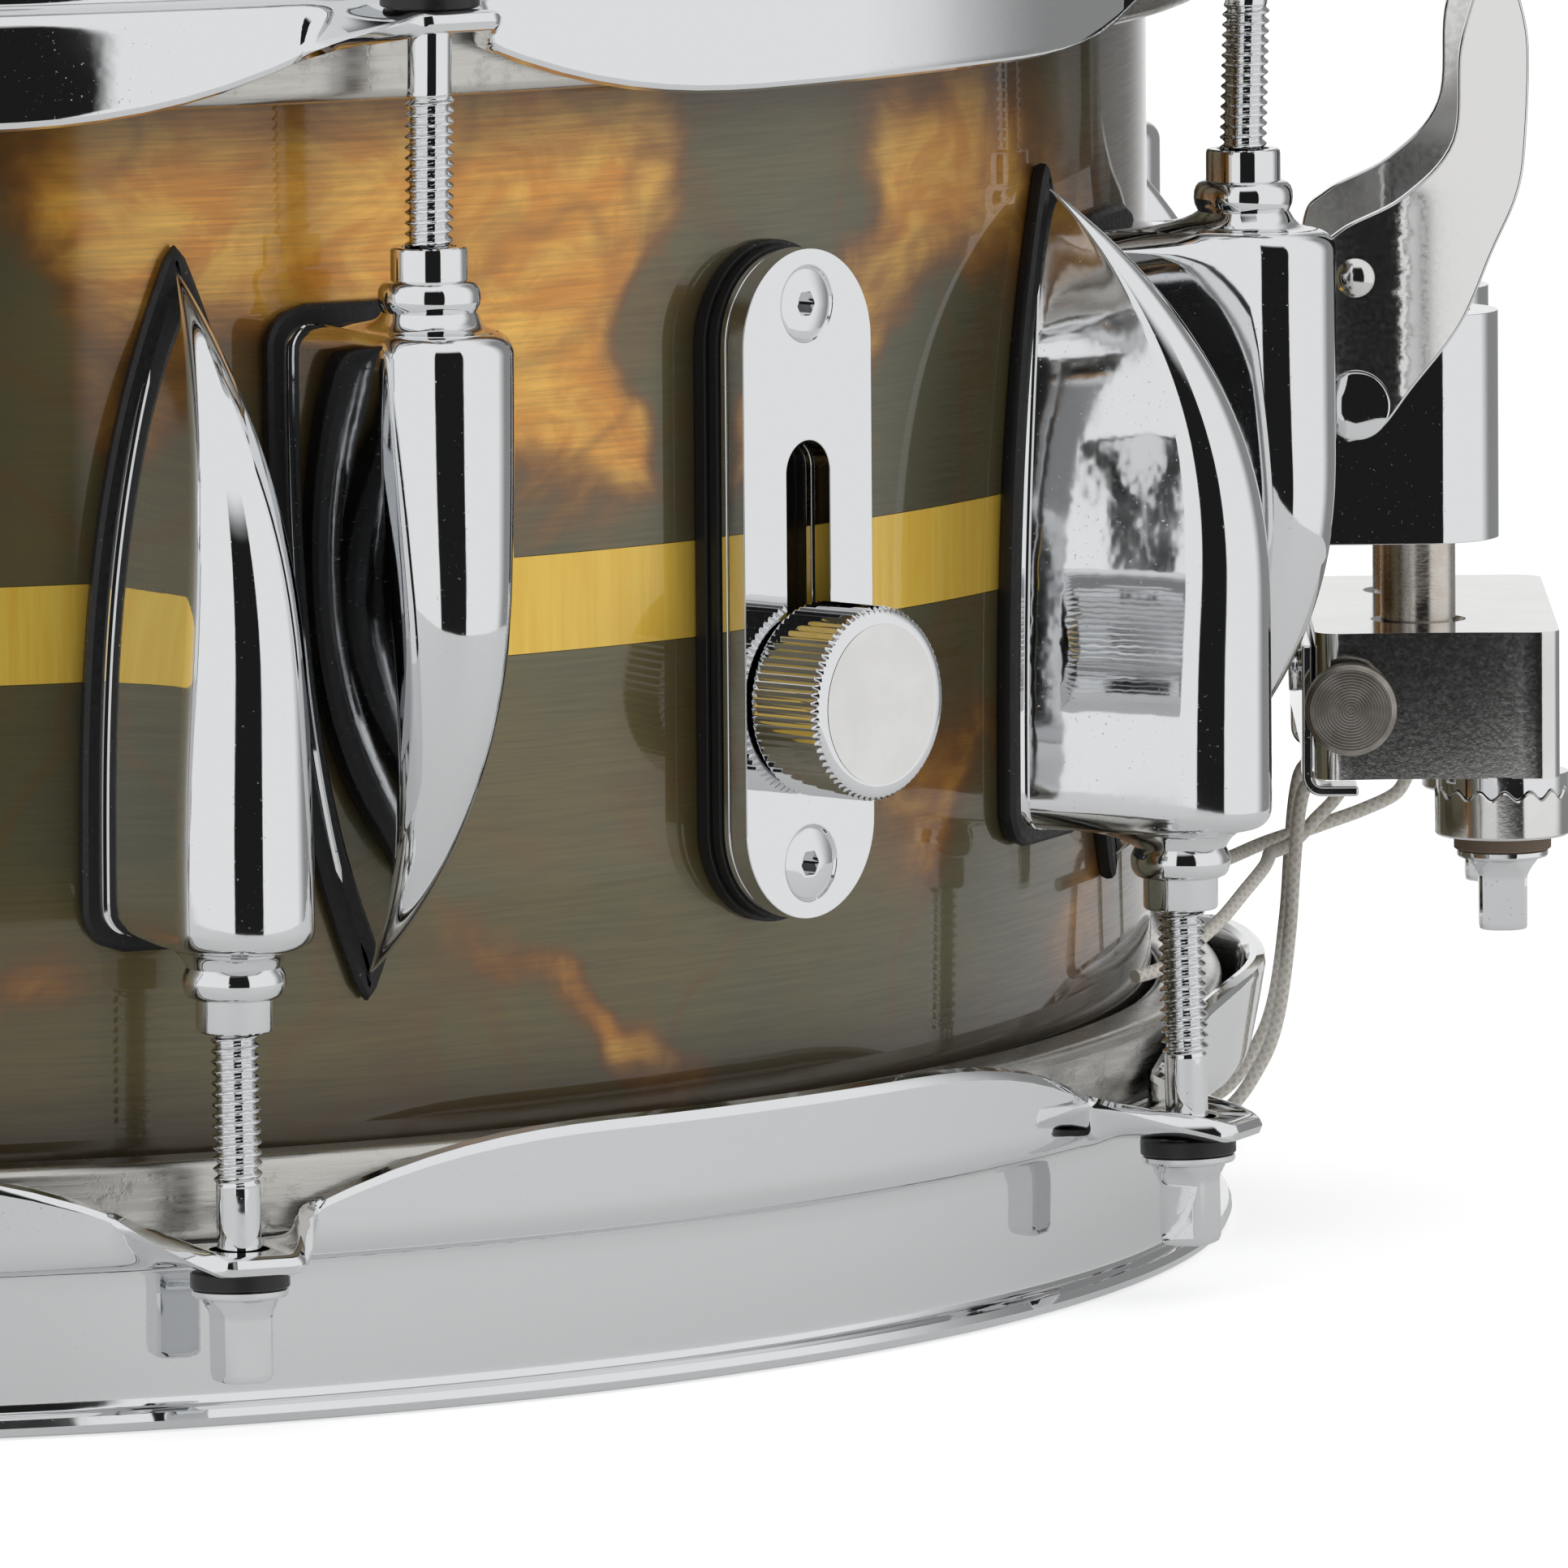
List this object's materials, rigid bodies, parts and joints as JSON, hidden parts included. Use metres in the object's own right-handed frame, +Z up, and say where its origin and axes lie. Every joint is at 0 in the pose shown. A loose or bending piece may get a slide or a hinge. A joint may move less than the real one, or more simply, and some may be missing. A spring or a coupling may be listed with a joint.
{
  "type": "snare drum",
  "caption": "Snare drum with a lacquered brass shell and inlaid band, single lugs, triple-flanged hoops, a lever throw-off with two guide posts and a sliding internal muffler.",
  "frame": {"origin": "centre of the batter head's playing surface", "axes": "+Z up out of the batter head along the drum's axis; the throw-off is 3 degrees short of +X, towards -Y"},
  "size_m": [0.4242, 0.3914, 0.1768],
  "materials": {
    "patina_brass": "lacquered, aged",
    "bright_brass": "brushed",
    "chrome": "polished",
    "nickel_steel": "satin",
    "coated_film": "coated",
    "clear_film": "hazy",
    "cream_braid": "braided",
    "grey_felt": "felt"
  },
  "bodies": {
    "drum": {"shell": "patina_brass", "inlay_band": "bright_brass", "batter_head": "coated_film", "snare_head": "clear_film", "batter_hoop": "chrome", "snare_hoop": "chrome", "snare_lug_1": "chrome", "snare_lug_2": "chrome", "snare_lug_3": "chrome", "snare_lug_4": "chrome", "snare_lug_5": "chrome", "snare_lug_6": "chrome", "snare_lug_7": "chrome", "snare_lug_8": "chrome", "batter_lug_1": "chrome", "batter_lug_2": "chrome", "batter_lug_3": "chrome", "batter_lug_4": "chrome", "batter_lug_5": "chrome", "batter_lug_6": "chrome", "batter_lug_7": "chrome", "batter_lug_8": "chrome", "strainer_base": "chrome", "butt_plate": "chrome", "butt_clamp": "chrome", "muffler_plate": "chrome", "lever_pin": "nickel_steel", "snare_wires": "nickel_steel", "snare_cord_near": "cream_braid", "snare_cord_far": "cream_braid", "cord_tail_near": "cream_braid", "cord_tail_far": "cream_braid", "butt_cord": "cream_braid"},
    "lever": {"strainer_lever": "chrome"},
    "carriage": {"strainer_block": "chrome", "guide_post_near": "nickel_steel", "guide_post_far": "nickel_steel", "cord_clamp": "chrome"},
    "release_button": {"release_button": "nickel_steel"},
    "adjuster_near": {"adjuster_near": "chrome"},
    "adjuster_far": {"adjuster_far": "chrome"},
    "muffler_slider": {"muffler_arm": "nickel_steel", "muffler_pad": "grey_felt"},
    "muffler_knob": {"muffler_knob": "chrome"},
    "snare_rod_1": {"snare_rod_1": "chrome"},
    "snare_rod_2": {"snare_rod_2": "chrome"},
    "snare_rod_3": {"snare_rod_3": "chrome"},
    "snare_rod_4": {"snare_rod_4": "chrome"},
    "snare_rod_5": {"snare_rod_5": "chrome"},
    "snare_rod_6": {"snare_rod_6": "chrome"},
    "snare_rod_7": {"snare_rod_7": "chrome"},
    "snare_rod_8": {"snare_rod_8": "chrome"},
    "batter_rod_1": {"batter_rod_1": "chrome"},
    "batter_rod_2": {"batter_rod_2": "chrome"},
    "batter_rod_3": {"batter_rod_3": "chrome"},
    "batter_rod_4": {"batter_rod_4": "chrome"},
    "batter_rod_5": {"batter_rod_5": "chrome"},
    "batter_rod_6": {"batter_rod_6": "chrome"},
    "batter_rod_7": {"batter_rod_7": "chrome"},
    "batter_rod_8": {"batter_rod_8": "chrome"}
  },
  "joints": [
    {"name": "snare_rod_1_turn", "type": "hinge", "parent": "drum", "child": "snare_rod_1", "pos_m": [0.06323, -0.18468, -0.1192], "axis": [-0.0088, 0.0258, 0.9996], "continuous": true},
    {"name": "snare_rod_2_turn", "type": "hinge", "parent": "drum", "child": "snare_rod_2", "pos_m": [0.1753, -0.08588, -0.1192], "axis": [-0.0244, 0.012, 0.9996], "continuous": true},
    {"name": "snare_rod_3_turn", "type": "hinge", "parent": "drum", "child": "snare_rod_3", "pos_m": [0.18468, 0.06323, -0.1192], "axis": [-0.0258, -0.0088, 0.9996], "continuous": true},
    {"name": "snare_rod_4_turn", "type": "hinge", "parent": "drum", "child": "snare_rod_4", "pos_m": [0.08588, 0.1753, -0.1192], "axis": [-0.012, -0.0244, 0.9996], "continuous": true},
    {"name": "snare_rod_5_turn", "type": "hinge", "parent": "drum", "child": "snare_rod_5", "pos_m": [-0.06323, 0.18468, -0.1192], "axis": [0.0088, -0.0258, 0.9996], "continuous": true},
    {"name": "snare_rod_6_turn", "type": "hinge", "parent": "drum", "child": "snare_rod_6", "pos_m": [-0.1753, 0.08588, -0.1192], "axis": [0.0244, -0.012, 0.9996], "continuous": true},
    {"name": "snare_rod_7_turn", "type": "hinge", "parent": "drum", "child": "snare_rod_7", "pos_m": [-0.18468, -0.06323, -0.1192], "axis": [0.0258, 0.0088, 0.9996], "continuous": true},
    {"name": "snare_rod_8_turn", "type": "hinge", "parent": "drum", "child": "snare_rod_8", "pos_m": [-0.08588, -0.1753, -0.1192], "axis": [0.012, 0.0244, 0.9996], "continuous": true},
    {"name": "batter_rod_1_turn", "type": "hinge", "parent": "drum", "child": "batter_rod_1", "pos_m": [0.08588, -0.1753, -0.0332], "axis": [-0.012, 0.0244, -0.9996], "continuous": true},
    {"name": "batter_rod_2_turn", "type": "hinge", "parent": "drum", "child": "batter_rod_2", "pos_m": [0.18468, -0.06323, -0.0332], "axis": [-0.0258, 0.0088, -0.9996], "continuous": true},
    {"name": "batter_rod_3_turn", "type": "hinge", "parent": "drum", "child": "batter_rod_3", "pos_m": [0.1753, 0.08588, -0.0332], "axis": [-0.0244, -0.012, -0.9996], "continuous": true},
    {"name": "batter_rod_4_turn", "type": "hinge", "parent": "drum", "child": "batter_rod_4", "pos_m": [0.06323, 0.18468, -0.0332], "axis": [-0.0088, -0.0258, -0.9996], "continuous": true},
    {"name": "batter_rod_5_turn", "type": "hinge", "parent": "drum", "child": "batter_rod_5", "pos_m": [-0.08588, 0.1753, -0.0332], "axis": [0.012, -0.0244, -0.9996], "continuous": true},
    {"name": "batter_rod_6_turn", "type": "hinge", "parent": "drum", "child": "batter_rod_6", "pos_m": [-0.18468, 0.06323, -0.0332], "axis": [0.0258, -0.0088, -0.9996], "continuous": true},
    {"name": "batter_rod_7_turn", "type": "hinge", "parent": "drum", "child": "batter_rod_7", "pos_m": [-0.1753, -0.08588, -0.0332], "axis": [0.0244, 0.012, -0.9996], "continuous": true},
    {"name": "batter_rod_8_turn", "type": "hinge", "parent": "drum", "child": "batter_rod_8", "pos_m": [-0.06323, -0.18468, -0.0332], "axis": [0.0088, 0.0258, -0.9996], "continuous": true},
    {"name": "lever_swing", "type": "hinge", "parent": "drum", "child": "lever", "pos_m": [0.20112, -0.01054, -0.0657], "axis": [0.0523, 0.9986, 0], "range_deg": [0, 95]},
    {"name": "carriage_drop", "type": "slide", "parent": "drum", "child": "carriage", "axis": [0, 0, -1], "range_m": [0, 0.01], "deforming": ["snare_cord_near", "snare_cord_far", "cord_tail_near", "cord_tail_far"]},
    {"name": "release_button_push", "type": "slide", "parent": "carriage", "child": "release_button", "axis": [0.0523, 0.9986, 0], "range_m": [0, 0.0025], "stiffness_N_per_m": 600},
    {"name": "adjuster_near_turn", "type": "hinge", "parent": "carriage", "child": "adjuster_near", "pos_m": [0.21704, -0.03541, -0.1146], "axis": [0, 0, -1], "continuous": true},
    {"name": "adjuster_far_turn", "type": "hinge", "parent": "carriage", "child": "adjuster_far", "pos_m": [0.21956, 0.01253, -0.1146], "axis": [0, 0, -1], "continuous": true},
    {"name": "muffler_slide", "type": "slide", "parent": "drum", "child": "muffler_slider", "axis": [0, 0, 1], "range_m": [0, 0.0252]},
    {"name": "muffler_knob_turn", "type": "hinge", "parent": "muffler_slider", "child": "muffler_knob", "pos_m": [0.13039, -0.13039, -0.0891], "axis": [0.7071, -0.7071, 0], "range_deg": [0, 360]}
  ],
  "couplings": [
    {"joint": "lever_swing", "follows": "carriage_drop", "rad_per_m": 165.8}
  ]
}
